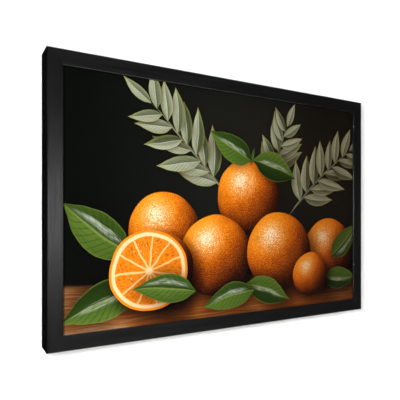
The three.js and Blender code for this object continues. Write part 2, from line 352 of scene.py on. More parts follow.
def peel_group():
    """The colour of a whole orange at a spot on its front: a pored ball, lit from the upper left."""
    tree, (spot,) = new_group("Orange peel", Spot="VECTOR")
    x, tone, z = spot.split()
    ball = combine(x, (1.0 - x * x - z * z).positive().root(), z)
    skin = ball + combine(tone * 9.0, tone * 5.0, tone * 7.0)

    def pores(place):
        return cells(place, 29.0).smooth(0.05, 0.55) + noise(place, 5.0) * 0.6

    relief = pores(skin) - pores(skin + PAINTED_LIGHT * 0.014)
    lit = ball.dot(PAINTED_LIGHT)
    mottle = noise(skin, 2.6, 3.0) - 0.5
    bounce = (z * -0.55 + x * 0.25 - 0.10).positive() * 0.34
    light = (lit + relief * 0.48) * 0.74 + 0.08 + bounce + mottle * 0.20
    body = ramp(
        light.clamped(),
        (0.00, 0.020, 0.0035, 0.0006),
        (0.16, 0.085, 0.0130, 0.0008),
        (0.36, 0.300, 0.0520, 0.0016),
        (0.58, 0.700, 0.1580, 0.0030),
        (0.78, 0.900, 0.2850, 0.0080),
        (1.00, 1.000, 0.4500, 0.0400),
    )
    glint = ball.dot(PAINTED_GLINT) + relief * 0.05
    warm = tint(glint.smooth(0.80, 1.0) * 0.30, body, (1.0, 0.56, 0.15))
    shone = tint((glint + relief * 0.06).smooth(0.965, 1.003) * 0.78, warm, (1.0, 0.86, 0.58))
    angle = tone * 21.0
    pole = combine(angle.sine() * 0.62, 0.55, (angle + 1.9).sine() * 0.62)
    reach = (ball - pole).length() + mottle * 0.05
    dimple = tint(reach.fade(0.05, 0.20) * 0.55, shone, (0.16, 0.035, 0.002))
    button = tint(reach.fade(0.045, 0.065), dimple, (0.13, 0.12, 0.035))
    return end_group(tree, Colour=button)


def cut_face_group():
    """The colour of a halved orange at a spot on its cut face: rind, pith, membranes and pulp."""
    tree, (spot,) = new_group("Cut orange", Spot="VECTOR")
    x, tone, z = spot.split()
    from_middle = (x * x + z * z).root()
    wobble = (noise(spot, 2.2) - 0.5) * 0.16
    turn = z.math("ARCTAN2", x) * (SEGMENTS / (2 * math.pi)) + wobble * 3.0 + tone
    within = turn.math("FRACT")
    to_membrane = (0.5 - (within - 0.5).size()) * from_middle * (2 * math.pi / SEGMENTS)
    number = turn.math("FLOOR")
    pulp_place = combine(within * 2.6 * from_middle + number * 3.7, from_middle * 2.3, number)
    drops = cells(pulp_place, 3.4, feature="DISTANCE_TO_EDGE")
    wet = noise(pulp_place, 5.0)
    pulp = ramp(
        (drops * 1.5 + wet * 0.55 - 0.02).clamped(),
        (0.00, 0.95, 0.47, 0.065),
        (0.22, 0.84, 0.26, 0.008),
        (0.60, 0.71, 0.16, 0.003),
        (1.00, 0.52, 0.09, 0.001),
    )
    glints = tint(wet.smooth(0.66, 0.74) * 0.75, pulp, (1.0, 0.88, 0.66))
    skins = tint(to_membrane.fade(0.012, 0.034) * 0.85, glints, (0.96, 0.62, 0.22))
    pith_reach = from_middle + wobble * 0.10
    core = tint(pith_reach.fade(0.07, 0.11), skins, (0.97, 0.72, 0.35))
    pith = tint(pith_reach.smooth(0.835, 0.870), core, (0.93, 0.68, 0.33))
    rind = tint(from_middle.smooth(0.925, 0.955), pith, (0.86, 0.25, 0.008))
    away = (x * 0.16 - z * 0.10 + 0.02).clamped()
    return end_group(tree, Colour=tint(away, rind, (0.20, 0.04, 0.002)))


def leaf_group():
    """A leaf's colours, deep green and glossy or pale and dull, at a spot along and across it."""
    tree, (spot,) = new_group("Leaf blade", Spot="VECTOR")
    along, tone, across = spot.split()
    side = across.size()
    grain = noise(spot.stretched((3.0, 9.0, 6.0)), 2.0, 3.0)
    vein_place = (along * 11.0 - side * 2.3 + grain * 0.2).math("FRACT")
    vein = (vein_place - 0.5).size().fade(0.02, 0.16)
    midrib = side.fade(0.035, 0.085)
    lobe = across.smooth(-0.12, 0.12)
    puff = 1.0 - vein * 0.30
    turned = lobe * (0.42 - tone * 0.3) + across * (tone - 0.5) * 0.6 + 0.18
    light = (turned * puff + grain * 0.22 + along * 0.10).clamped()
    deep = ramp(
        light,
        (0.00, 0.0035, 0.0085, 0.0015),
        (0.28, 0.0150, 0.0380, 0.0035),
        (0.55, 0.0560, 0.1080, 0.0110),
        (0.85, 0.1400, 0.2180, 0.0330),
        (1.00, 0.2500, 0.3400, 0.0800),
    )
    gloss_line = (across + 0.50 - tone * 0.85 + grain * 0.25).size()
    gloss = gloss_line.fade(0.04, 0.26) * along.smooth(0.08, 0.30) * along.fade(0.62, 0.92)
    gloss = gloss * (grain.smooth(0.34, 0.62) * 0.85 + 0.15) * puff
    shone = tint(gloss * 0.56, deep, (0.58, 0.64, 0.50))
    rib = tint(midrib * 0.60, shone, (0.22, 0.29, 0.065))
    rim = tint(side.smooth(0.90, 0.99) * 0.45, rib, (0.18, 0.22, 0.035))
    dull = ramp(
        (light * 1.10 + side * 0.08 - 0.02).clamped(),
        (0.00, 0.014, 0.019, 0.008),
        (0.30, 0.066, 0.080, 0.038),
        (0.60, 0.240, 0.260, 0.165),
        (0.85, 0.480, 0.500, 0.390),
        (1.00, 0.700, 0.710, 0.620),
    )
    fresh = (side.smooth(0.45, 1.0) * 0.55 + along.smooth(0.60, 1.0) * 0.6 + grain * 0.3 - 0.25).clamped()
    edged = tint(fresh * 0.75, dull, (0.31, 0.33, 0.065))
    pale_rib = tint(midrib * 0.6, edged, (0.54, 0.56, 0.38))
    warm_tip = tint(along.smooth(0.90, 1.0) * 0.7, pale_rib, (0.24, 0.13, 0.05))
    return end_group(tree, Glossy=rim, Pale=warm_tip)


def ground_group():
    """The dark behind the fruit and the worn brown table under it."""
    tree, (place,) = new_group("Table and dark", Place="VECTOR")
    x, _, z = place.split()
    air = noise(place, 0.55, 3.0)
    glow = place.stretched((0.22, 0, 0.28), (-0.14, 0, -0.28)).length()
    haze = glow.fade(0.10, 1.10) * 0.54 + air * 0.24 + x * 0.075 + x.smooth(1.2, 3.6) * 0.18 + 0.09
    dark = ramp(
        haze.clamped(),
        (0.00, 0.0016, 0.0022, 0.0016),
        (0.35, 0.0044, 0.0052, 0.0038),
        (0.70, 0.0086, 0.0090, 0.0068),
        (1.00, 0.0150, 0.0140, 0.0105),
    )
    warmed = tint(x.smooth(-1.5, 3.5), (1, 1, 1), (1.0, 0.88, 0.74))
    dark = tint(1.0, dark, warmed, blend="MULTIPLY")
    near = TABLE_EDGE - z
    reach = near.positive() + 0.30
    board = combine(x / reach * 0.35, 0.0, 1.0 / reach * 1.6)
    grain = noise(board.stretched((1.0, 1, 9.0)), 2.4, 4.0, 0.6, 0.4)
    streaks = noise(board.stretched((0.7, 1, 26.0)), 3.0, 3.0)
    warmth = noise(place.stretched((1.1, 0, 0.5)), 0.9, 1.0)
    daylight = x.fade(-3.9, -0.6) * 0.20
    wood = ramp(
        (grain * 0.80 + streaks * 0.45 + warmth * 0.65 + near * 0.24 + daylight - 0.66).clamped(),
        (0.00, 0.012, 0.0042, 0.0018),
        (0.28, 0.052, 0.0140, 0.0030),
        (0.50, 0.160, 0.0500, 0.0090),
        (0.72, 0.350, 0.1500, 0.0380),
        (1.00, 0.700, 0.4500, 0.2100),
    )
    for (middle_x, middle_z), radius, height, _ in (CUT_FRUIT, *MAIN_FRUIT[1:], *FRONT_FRUIT):
        foot = (-middle_x / radius, 0, (middle_z - radius * height * 1.12) / (-0.42 * radius))
        around = place.stretched((1 / radius, 0, 1 / (0.42 * radius)), foot).length()
        wood = tint(around.fade(0.1, 1.25) * 0.42, wood, (0.60, 0.150, 0.010))
    worn = noise(board.stretched((0.9, 1, 5.0)), 1.7, 3.0, 0.55, 1.4).smooth(0.50, 0.70)
    wood = tint(worn * (daylight * 2.4 + 0.06), wood, (0.58, 0.42, 0.27))
    edge = near + (noise(place, 1.3) - 0.5) * 0.05
    return end_group(tree, Colour=tint(edge.smooth(-0.02, 0.10), dark, wood))


def heading(angle):
    """The direction at an angle in degrees, and the one square to it, in the picture's plane."""
    along = Vector((math.cos(math.radians(angle)), math.sin(math.radians(angle))))
    return along, Vector((-along.y, along.x))


class Painting:
    """The state of the painting as its motifs are laid, from back to front."""

    def __init__(self, place):
        self.place = place
        self.fruit = lay_fruit_group()
        self.leaf = lay_leaf_group()
        self.state = {"Spot": (0, 0, 0), "Kind": BARE, "Shade": 1.0}

    def lay(self, group, **values):
        self.state = place_group(group, Place=self.place, **self.state, **values)

    def lay_fruit(self, centre, radius, height, tone, sort=PEEL):
        middle = (centre[0], -tone, centre[1])
        self.lay(self.fruit, Centre=middle, Scale=(1 / radius, 1, 1 / (radius * height)), Sort=sort)

    def lay_leaf(self, base, angle, reach, half_width, bend, tone, sort=GLOSSY_LEAF):
        ahead, aside = heading(angle)
        places = {"Base": base, "Along": ahead / reach, "Across": aside / half_width}
        places = {name: (place[0], 0, place[1]) for name, place in places.items()}
        self.lay(self.leaf, Bend=bend, Tone=tone, Sort=sort, **places)

    def lay_spray(self, base, angle, reach, bend, count, leaf, half_width, seed):
        """A stem with its leaves to either side, which get smaller towards its tip."""
        pick = random.Random(seed)
        self.lay_leaf(base, angle, reach, STEM_WIDTH, bend / STEM_WIDTH, pick.random(), PALE_LEAF)
        along, across = heading(angle)
        for number in range(count):
            share = 0.20 + 0.78 * number / (count - 1)
            place = Vector(base) + along * reach * share + across * bend * share * share
            bent = angle + math.degrees(math.atan(2 * bend * share / reach))
            side = 0 if number == count - 1 else 1 - 2 * (number % 2)
            turn = bent + side * pick.uniform(38, 64)
            size = (1.0 - 0.36 * share) * pick.uniform(0.88, 1.10)
            curl = -side * pick.uniform(0.3, 1.1)
            self.lay_leaf(place, turn, leaf * size, half_width * size, curl, pick.random(), PALE_LEAF)


def painted_picture(on_canvas):
    """The still life's colour on the canvas's front."""
    place = on_canvas.stretched((10, 0, 10), (-10 * CENTRE.x, 0, -10 * CENTRE.z))
    wander = Place(noise(place, 1.1, 1.0, output="Color").socket) - (0.5, 0.5, 0.5)
    place = place + wander * (0.12, 0, 0.12)
    painting = Painting(place)
    layers = (
        (painting.lay_spray, BACK_SPRAYS),
        (painting.lay_fruit, BACK_FRUIT),
        (painting.lay_leaf, BROAD_LEAVES),
        (painting.lay_fruit, MAIN_FRUIT),
        (painting.lay_leaf, STEM_LEAVES),
        (painting.lay_fruit, (CUT_FRUIT_BACK, (*CUT_FRUIT, CUT_FACE), *FRONT_FRUIT)),
        (painting.lay_leaf, FRONT_LEAVES),
    )
    for lay, motifs in layers:
        for motif in motifs:
            lay(*motif)
    spot, kind, shade = painting.state.values()
    leaves = place_group(leaf_group(), Spot=spot)
    sorts = (
        (PEEL, place_group(peel_group(), Spot=spot)["Colour"]),
        (GLOSSY_LEAF, leaves["Glossy"]),
        (CUT_FACE, place_group(cut_face_group(), Spot=spot)["Colour"]),
        (PALE_LEAF, leaves["Pale"]),
    )
    paint = place_group(ground_group(), Place=place)["Colour"]
    for sort, shown in sorts:
        paint = tint(kind.math("COMPARE", sort, 0.25), paint, shown)
    x, _, z = place.split()
    open_dark = kind.below(0.5) * z.smooth(TABLE_EDGE - 0.1, TABLE_EDGE + 0.3)
    shade = mix("FLOAT", open_dark * 0.75, shade, 1.0)
    shade = shade * (1.0 - x.smooth(-1.0, 3.2) * 0.48)
    warm_shadow = ramp(shade, (0.0, 0.02, 0.012, 0.010), (0.5, 0.46, 0.38, 0.34), (1.0, 1, 1, 1))
    return tint(1.0, paint, warm_shadow, blend="MULTIPLY")


# ---- Effects that several finishes share ----

CANVAS_PITCH = 0.62 * MM


@cache
def weave_group():
    """Plain canvas weave across X and Z: its height, and how deep between the threads a point lies."""
    tree, (place, pitch) = new_group("Canvas weave", Place="VECTOR", Pitch="VALUE")
    drift = noise(place, 40.0) - 0.5
    x, _, z = place.split()
    across = x / pitch + drift * 1.3
    up = z / pitch + drift * 1.1
    warp = (across * math.pi).sine().size()
    weft = (up * math.pi).sine().size()
    checker = (across.math("FLOOR") + up.math("FLOOR")).math("FLOORED_MODULO", 2.0)
    thread = checker * (warp * 0.7 + weft * 0.3) + (1.0 - checker) * (weft * 0.7 + warp * 0.3)
    slub = noise(place.stretched((30, 30, 700)), 1.0).smooth(0.58, 0.75)
    return end_group(tree, Height=thread + slub * 0.5, Hollow=thread.fade(0.15, 0.55))


@cache
def painted_grain_group():
    """Grain that shows through paint, as long faint ridges along the place's X."""
    tree, (place,) = new_group("Grain under paint", Place="VECTOR")
    broad = noise(place.stretched((9, 260, 260)), 1.0, 3.0, 0.6)
    fine = noise(place.stretched((24, 1100, 1100)), 1.0, 3.0, 0.6)
    pores = noise(place.stretched((60, 2600, 2600)), 1.0, 1.0).smooth(0.60, 0.72)
    height = broad * 0.8 + fine * 0.6 - pores * 0.5
    return end_group(tree, Height=height, Streak=(broad * 0.65 + fine * 0.35).smooth(0.36, 0.64))


@cache
def bare_grain_group():
    """Sawn softwood along the place's X: growth rings, fibres and a few small knots."""
    tree, (place, rings) = new_group("Sawn wood grain", Place="VECTOR", Rings="VALUE")
    slow = noise(place.stretched((3.5, 22, 22)), 1.0) - 0.5
    knot = cells(place.stretched((7.0, 26, 26)), 1.0)
    _, y, z = place.split()
    sideways = y * 0.35 + z + slow * 0.030 + knot.fade(0.06, 0.34) * 0.012
    ring = (sideways * rings).math("FRACT")
    late = ring.smooth(0.35, 0.92) * ring.fade(0.95, 1.0)
    fibre = noise(place.stretched((26, 1500, 1500)), 1.0, 3.0, 0.65)
    return end_group(tree, Ring=late, Fibre=fibre, Knot=knot.fade(0.045, 0.085))


@cache
def dust_group():
    """Fine dust, thicker on what faces up, as a mask."""
    tree, (place, normal) = new_group("Dust", Place="VECTOR", Normal="VECTOR")
    _, _, up = normal.split()
    specks = noise(place, 260.0, 4.0, 0.7).smooth(0.50, 0.78)
    film = noise(place, 14.0, 3.0).smooth(0.35, 0.75)
    return end_group(tree, Mask=up.positive().smooth(0.3, 0.9) * (specks * 0.6 + film * 0.4))


def along_grain(place, upright):
    """A point's place with the wood's length as X, from a side that runs across or stands upright."""
    if not upright:
        return place
    x, y, z = place.split()
    return combine(z + 3.7, y, x)


# ---- Finishes ----


def satin_black_paint(upright):
    """Black paint, satin, over planed wood whose grain runs along the rail."""
    material, place = new_material("satin_black_upright" if upright else "satin_black_across")
    grain = place_group(painted_grain_group(), Place=along_grain(place, upright))
    streak = grain["Streak"]
    normal = add_node(place.tree, "NewGeometry", output="Normal")
    dust = place_group(dust_group(), Place=place, Normal=normal)["Mask"]
    cloud = noise(place, 9.0, 3.0)
    body = tint(streak * 0.75 + cloud * 0.25, (0.0022, 0.0022, 0.0023), (0.0060, 0.0060, 0.0063))
    return finish(
        material,
        Base_Color=tint(dust * 0.05, body, (0.30, 0.28, 0.26)),
        Roughness=0.285 + streak * 0.06 + cloud * 0.04,
        Normal=bump(grain["Height"], 0.55, 0.16 * MM),
    )


def printed_front():
    """Ink on sized canvas: the still life, with the weave standing through it and painted shade in the
    weave's hollows.
    """
    material, place = new_material("printed_canvas_front")
    weave = place_group(weave_group(), Place=place, Pitch=CANVAS_PITCH)
    hollow = weave["Hollow"]
    starved = noise(place, 900.0).smooth(0.62, 0.80) * hollow
    # The print is darkened a little where the weave is hollow: painted shade between the threads.
    ink_with_hollow_shade = tint(hollow * 0.10, painted_picture(place), (0.004, 0.004, 0.004))
    return finish(
        material,
        Base_Color=tint(starved * 0.05, ink_with_hollow_shade, (0.55, 0.54, 0.50)),
        Roughness=0.58 + hollow * 0.16,
        Normal=bump(weave["Height"], 0.35, 0.12 * MM),
        Specular_IOR_Level=0.05,
    )


def canvas_cloth(name, fresh, aged, roughness):
    """Unprinted canvas, primed white at the edges or raw behind, with painted shade between its threads."""
    material, place = new_material(name)
    weave = place_group(weave_group(), Place=place, Pitch=CANVAS_PITCH)
    hollow = weave["Hollow"]
    age = noise(place, 7.0, 4.0).smooth(0.35, 0.75)
    threads = noise(place.stretched((14, 14, 420)), 1.0)
    worn = tint(age * 0.45 + threads * 0.25, fresh, aged)
    return finish(
        material,
        # Darker where the weave is hollow: painted shade between the threads.
        Base_Color=tint(hollow * 0.45, worn, [0.55 * part for part in aged]),
        Roughness=roughness + hollow * 0.10,
        Normal=bump(weave["Height"], 0.8, 0.20 * MM),
        Specular_IOR_Level=0.2,
        Sheen_Weight=0.15,
    )


def sawn_wood(name, upright, pale, dark, rings):
    """Bare pine or a harder pale wood, planed, with rings, fibres and knots."""
    material, place = new_material(name)
    place = along_grain(place, upright)
    ring, fibre, knot = place_group(bare_grain_group(), Place=place, Rings=rings).values()
    cloud = noise(place, 5.0, 3.0)
    wood = tint((ring * 0.62 + fibre * 0.35 + cloud * 0.25 - 0.15).clamped(), pale, dark)
    knotted = tint(knot * 0.85, wood, (0.16, 0.062, 0.022))
    handled = noise(place, 31.0, 3.0).smooth(0.60, 0.85)
    return finish(
        material,
        Base_Color=tint(handled * 0.20, knotted, (0.20, 0.13, 0.07)),
        Roughness=0.56 + fibre * 0.16 - ring * 0.06,
        Normal=bump(fibre * 0.7 + ring * 0.5, 0.5, 0.18 * MM),
        Specular_IOR_Level=0.35,
    )


def zinc_plate():
    """Pressed sheet steel, zinc plated: faint spangle, rolling lines and white bloom."""
    material, place = new_material("zinc_plate_worn")
    spangle = Place(cells(place, 330.0, output="Color").socket).split()[0]
    lines = noise(place.stretched((90, 90, 2400)), 1.0)
    bloom = noise(place, 150.0, 4.0, 0.6).smooth(0.58, 0.76)
    plate = tint(spangle * 0.6 + lines * 0.4, (0.40, 0.42, 0.45), (0.66, 0.68, 0.70))
    return finish(
        material,
        Base_Color=tint(bloom * 0.45, plate, (0.74, 0.74, 0.73)),
        Metallic=1.0 - bloom * 0.55,
        Roughness=0.26 + spangle * 0.12 + bloom * 0.30,
        Normal=bump(lines, 0.3, 0.03 * MM),
    )


def bare_steel():
    """Drawn and headed steel: bright, with fine tool marks and a breath of rust."""
    material, place = new_material("bare_steel_worn")
    marks = noise(place, 1900.0, 3.0, 0.6)
    rust = noise(place, 420.0, 5.0, 0.7).smooth(0.60, 0.74)
    steel = tint(marks, (0.36, 0.36, 0.37), (0.60, 0.59, 0.58))
    return finish(
        material,
        Base_Color=tint(rust * 0.7, steel, (0.17, 0.075, 0.035)),
        Metallic=1.0 - rust * 0.8,
        Roughness=0.30 + marks * 0.14 + rust * 0.35,
        Normal=bump(marks, 0.35, 0.03 * MM),
    )


def grey_felt():
    """Pressed wool felt: matted fibres, a few of them paler."""
    material, place = new_material("grey_felt_fuzzy")
    mat = noise(place, 700.0, 5.0, 0.75, 1.4)
    hairs = noise(place.stretched((2600, 2600, 500)), 1.0, 3.0, 0.7, 2.0).smooth(0.56, 0.70)
    wool = tint(mat, (0.055, 0.052, 0.048), (0.160, 0.153, 0.145))
    return finish(
        material,
        Base_Color=tint(hairs * 0.55, wool, (0.33, 0.32, 0.30)),
        Roughness=0.86 + mat * 0.12,
        Normal=bump(mat + hairs * 0.6, 1.0, 0.35 * MM),
        Specular_IOR_Level=0.1,
        Sheen_Weight=0.35,
    )


# ---- Piece making ----

TOUCHING = 1e-6


def new_object(name, bm, materials=()):
    """Makes a bmesh an object in the scene."""
    mesh = bpy.data.meshes.new(name)
    bm.to_mesh(mesh)
    bm.free()
    for material in materials:
        mesh.materials.append(material)
    thing = bpy.data.objects.new(name, mesh)
    bpy.context.scene.collection.objects.link(thing)
    return thing


def place_piece(name, bm, materials, sharp, replaces=()):
    """Makes a bmesh a finished piece, smooth but for edges that turn by more than the sharp angle."""
    for face in bm.faces:
        face.smooth = True
    for edge in bm.edges:
        edge.smooth = edge.is_manifold and edge.calc_face_angle(0) < math.radians(sharp)
    piece = new_object(name, bm, materials)
    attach(piece, "root")
    if replaces:
        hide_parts(*replaces)
    return piece


def even_normals(piece):
    """Keeps broad flat faces flat where they meet rounded edges."""
    weighted = piece.modifiers.new("even normals", "WEIGHTED_NORMAL")
    weighted.keep_sharp = True
    weighted.weight = 100


def ease(bm, edges, width, segments=2):
    bmesh.ops.bevel(
        bm, geom=edges, affect="EDGES", offset=width, segments=segments, profile=0.5, material=-1,
        clamp_overlap=True,
    )


def edges_of(bm, faces):
    """The edges round some faces, each of them once and in the mesh's order."""
    wanted = {edge for face in faces for edge in face.edges}
    return [edge for edge in bm.edges if edge in wanted]


def open_edges(bm):
    return [edge for edge in bm.edges if edge.is_boundary]


def new_verts(made):
    return [part for part in made["geom"] if isinstance(part, bmesh.types.BMVert)]


def merge_doubles(bm):
    bmesh.ops.remove_doubles(bm, verts=bm.verts, dist=TOUCHING)


def face_out(bm):
    bmesh.ops.recalc_face_normals(bm, faces=bm.faces)


def turn(bm, angle, axis):
    """Turns everything about an axis through the origin."""
    bmesh.ops.rotate(bm, cent=(0, 0, 0), matrix=Matrix.Rotation(angle, 3, axis), verts=bm.verts)


def put(bm, place, angle, verts, axis="Y"):
    """Turns some vertices about an axis through the origin, then moves the origin to a place."""
    matrix = Matrix.Translation(place) @ Matrix.Rotation(angle, 4, axis)
    bmesh.ops.transform(bm, matrix=matrix, verts=verts)


def flat_grid(columns, rows, width, height):
    bm = bmesh.new()
    bmesh.ops.create_grid(bm, x_segments=columns, y_segments=rows, size=0.5)
    bmesh.ops.scale(bm, vec=(width, height, 1), verts=bm.verts)
    return bm


def block(bm, size):
    """Adds a block about the origin and gives its vertices."""
    verts = bmesh.ops.create_cube(bm, size=1.0)["verts"]
    bmesh.ops.scale(bm, vec=size, verts=verts)
    return verts


def eased_copy(node, width, material, segments=2):
    """A solid's own shape with its outer edges eased."""
    bm = bmesh.new()
    bm.from_mesh(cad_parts[node].data)
    merge_doubles(bm)
    bmesh.ops.dissolve_limit(bm, angle_limit=math.radians(1), verts=bm.verts, edges=bm.edges)
    sharp = math.radians(25)
    outer = [edge for edge in bm.edges if edge.is_convex and edge.calc_face_angle(0) > sharp]
    ease(bm, outer, width, segments)
    even_normals(place_piece("eased_" + node, bm, [material], 50, [node]))


# ---- The frame ----

MITRE_GAP = 0.07 * MM
MITRE_EASE = 0.12 * MM
RAIL_WALL, RAIL_DEPTH = FACE_WIDTH - RABBET_WIDTH, BACK - FRONT

# The rail's section: how far in from the outer edge and how deep each corner lies, and its radius.
RAIL_SECTION = (
    (0.0, 0.0, 2.0 * MM),
    (FACE_WIDTH - 0.2 * MM, 0.0, 1.1 * MM),
    (FACE_WIDTH, LIP_DEPTH, 0.4 * MM),
    (RAIL_WALL, LIP_DEPTH, 0.0),
    (RAIL_WALL, RAIL_DEPTH, 0.6 * MM),
    (0.0, RAIL_DEPTH, 0.8 * MM),
)


def frame_rail(side, angle, length_out, reach, material):
    """One mitred side of the frame, built as the bottom one and turned about the picture's centre."""
    half = length_out / 2
    bm = bmesh.new()
    section = [bm.verts.new((-half - MM, depth, -reach + across)) for across, depth, _ in RAIL_SECTION]
    grown = bmesh.ops.extrude_face_region(bm, geom=[bm.faces.new(section)])
    bmesh.ops.translate(bm, vec=(length_out + 2 * MM, 0, 0), verts=new_verts(grown))
    for across, depth, radius in RAIL_SECTION:
        corner = Vector((depth, across - reach))
        at_corner = {vert for vert in bm.verts if (vert.co.yz - corner).length < TOUCHING}
        if radius:
            ease(bm, [edge for edge in bm.edges if at_corner.issuperset(edge.verts)], radius, 5)
    for out in (-1, 1):
        corner = (out * (half - MITRE_GAP), 0, -reach)
        everything = bm.verts[:] + bm.edges[:] + bm.faces[:]
        bmesh.ops.bisect_plane(
            bm, geom=everything, plane_co=corner, plane_no=(out, 0, 1), clear_outer=True, dist=1e-7
        )
        bmesh.ops.holes_fill(bm, edges=open_edges(bm), sides=0)
    mitres = [face for face in bm.faces if abs(face.normal.x) > 0.5]
    ease(bm, edges_of(bm, mitres), MITRE_EASE, 1)
    face_out(bm)
    put(bm, CENTRE, angle, bm.verts)
    even_normals(place_piece("rail_" + side, bm, [material], 40, ["frame_rail_" + side]))


def build_frame():
    width, height = OUTER_RIGHT - OUTER_LEFT, OUTER_TOP - OUTER_BOTTOM
    across, upright = satin_black_paint(False), satin_black_paint(True)
    frame_rail("bottom", 0, width, height / 2, across)
    frame_rail("left", math.pi / 2, height, width / 2, upright)
    frame_rail("top", math.pi, width, height / 2, across)
    frame_rail("right", -math.pi / 2, height, width / 2, upright)


# ---- The canvas ----

CLOTH = 0.6 * MM
EDGE_RADIUS = 1.3 * MM
SAG, RIPPLE = 0.45 * MM, 0.10 * MM
FLAP = 22 * MM
FLAP_SEED = 7
PLEAT_LENGTH, PLEAT_WIDTH, PLEAT_INSET = 28 * MM, 9 * MM, 12.5 * MM
STAPLE_SIZE = (10 * MM, 0.55 * MM, 1.1 * MM)
STAPLE_INSET = 12 * MM
STAPLE_SEED = 11
PRINTED, PRIMED, RAW = 0, 1, 2


def canvas_sheet():
    """The canvas, stretched over its bars: front, four sides and the flaps turned in behind."""
    bm = flat_grid(96, 64, 2 * CANVAS_HALF.x, 2 * CANVAS_HALF.z)
    turn(bm, math.pi / 2, "X")
    for vert in bm.verts:
        vert.co.y = sag(vert.co)
    front = set(bm.faces)
    for vert in new_verts(bmesh.ops.extrude_edge_only(bm, edges=open_edges(bm))):
        vert.co.y = 2 * CANVAS_HALF.y
    turn_in(new_verts(bmesh.ops.extrude_edge_only(bm, edges=open_edges(bm))))
    merge_doubles(bm)
    sides = [face for face in bm.faces if face not in front and abs(face.normal.y) < 0.5]
    folds = [edge for edge in edges_of(bm, sides) if edge.calc_face_angle(0) > 0.5]
    ease(bm, folds, EDGE_RADIUS, 3)
    face_out(bm)
    bmesh.ops.solidify(bm, geom=bm.faces[:], thickness=CLOTH)
    return bm


def sag(place):
    """How far the stretched canvas dips between its bars, least at the edges."""
    u, v = place.x / CANVAS_HALF.x, place.z / CANVAS_HALF.z
    middle = max(0.0, 1 - u * u) * max(0.0, 1 - v * v)
    wave = math.sin(u * 9.0 + 1.0) * math.sin(v * 7.0 + 0.5)
    return middle * (SAG + RIPPLE * wave)


def turn_in(verts):
    """Draws the flap's edge in behind the bars, not quite straight, and square to the corner folds."""
    wander = random.Random(FLAP_SEED)
    for vert in verts:
        shake = wander.uniform(-0.4, 0.4) * MM
        limit_x, limit_z = CANVAS_HALF.x - FLAP + shake, CANVAS_HALF.z - FLAP + shake
        vert.co.x = max(-limit_x, min(limit_x, vert.co.x))
        vert.co.z = max(-limit_z, min(limit_z, vert.co.z))


def canvas_side(face):
    """Which finish a face of the canvas has: print in front, raw cloth behind it, and priming elsewhere."""
    middle = face.calc_center_median()
    if middle.y < 1.2 * MM and face.normal.y < -0.5:
        return PRINTED
    within = CANVAS_HALF - Vector((0.9, 0, 0.9)) * MM
    inside = abs(middle.x) < within.x and abs(middle.z) < within.z
    return RAW if inside and middle.y < 2 * CANVAS_HALF.y - 1.5 * MM else PRIMED


def build_canvas(primed, raw):
    bm = canvas_sheet()
    for face in bm.faces:
        face.material_index = canvas_side(face)
    bmesh.ops.translate(bm, vec=(CENTRE.x, CANVAS_LOW.y, CENTRE.z), verts=bm.verts)
    finishes = [printed_front(), primed, raw]
    return place_piece("stretched_canvas", bm, finishes, 60, ["canvas"])


def corner_fold(across, up, primed):
    """The pleat of spare canvas laid flat over a back corner."""
    bm = flat_grid(6, 2, PLEAT_LENGTH, PLEAT_WIDTH)
    for vert in bm.verts:
        share = vert.co.x / PLEAT_LENGTH + 0.5
        vert.co.y *= 0.50 if share > 0.99 else 0.35 + 0.65 * share
        vert.co.z = 0.25 * MM * math.sin(share * math.pi)
    turn(bm, -math.pi / 2, "X")
    face_out(bm)
    bmesh.ops.solidify(bm, geom=bm.faces[:], thickness=CLOTH)
    turn(bm, math.atan2(-up, across), "Y")
    x, z = across * (CANVAS_HALF.x - PLEAT_INSET), up * (CANVAS_HALF.z - PLEAT_INSET)
    bmesh.ops.translate(bm, vec=(CENTRE.x + x, CANVAS_HIGH.y + 0.3 * MM, CENTRE.z + z), verts=bm.verts)
    face_out(bm)
    words = ("top" if up > 0 else "bottom") + ("_right" if across > 0 else "_left")
    return place_piece("corner_fold_" + words, bm, [primed], 50)


def staple(bm, x, z, lean):
    """One staple: a flat wire crown whose ends turn down into the bar."""
    crown = block(bm, STAPLE_SIZE)
    back = [edge for edge in bm.edges if edge.verts[0] in crown and edge.verts[0].co.y > 0]
    before = set(bm.verts)
    ease(bm, [edge for edge in back if abs(edge.verts[0].co.z - edge.verts[1].co.z) > 1e-5], 0.45 * MM)
    made = [vert for vert in bm.verts if vert not in before or vert in crown]
    put(bm, (CENTRE.x + x, CANVAS_HIGH.y + 0.12 * MM, CENTRE.z + z), lean, made)


def build_staples(steel):
    """Staples round the back, a hand's width apart, none quite like the last."""
    wander = random.Random(STAPLE_SEED)
    bm = bmesh.new()

    def along(step, spacing):
        return step * spacing + wander.uniform(-4, 4) * MM

    def out(hand, half):
        return hand * (half - STAPLE_INSET + wander.uniform(-1.5, 1.5) * MM)

    for up in (-1, 1):
        for step in range(-5, 6):
            staple(bm, along(step, 62 * MM), out(up, CANVAS_HALF.z), wander.uniform(-0.22, 0.22))
    for across in (-1, 1):
        for step in range(-3, 4):
            x, z = out(across, CANVAS_HALF.x), along(step, 60 * MM)
            staple(bm, x, z, math.pi / 2 + wander.uniform(-0.22, 0.22))
    face_out(bm)
    return place_piece("staples", bm, [steel], 40)


# ---- Stretcher, fastenings and hanger ----

# A pan head's outline: shares of its radius, and millimetres below its top.
PAN_HEAD = ((0, 0), (0.45, 0.06), (0.80, 0.40), (0.97, 0.95), (1, 1.75), (0.97, 1.8))
HEAD_HEIGHT = 1.8 * MM
SHANK_RADIUS = 1.5 * MM
RECESS_SIZE = (3.6 * MM, 2.4 * MM, 0.75 * MM)
RECESS_TAPER = 0.35
RECESS_TURN = 0.4

# Pale and dark tones, and how close the growth rings lie.
PINE = (0.66, 0.45, 0.24), (0.45, 0.235, 0.088), 160.0
BEECH = (0.70, 0.53, 0.32), (0.54, 0.36, 0.19), 420.0
CLIP_PLACES = ("bottom_1", "bottom_2", "left", "top_1", "top_2", "right")


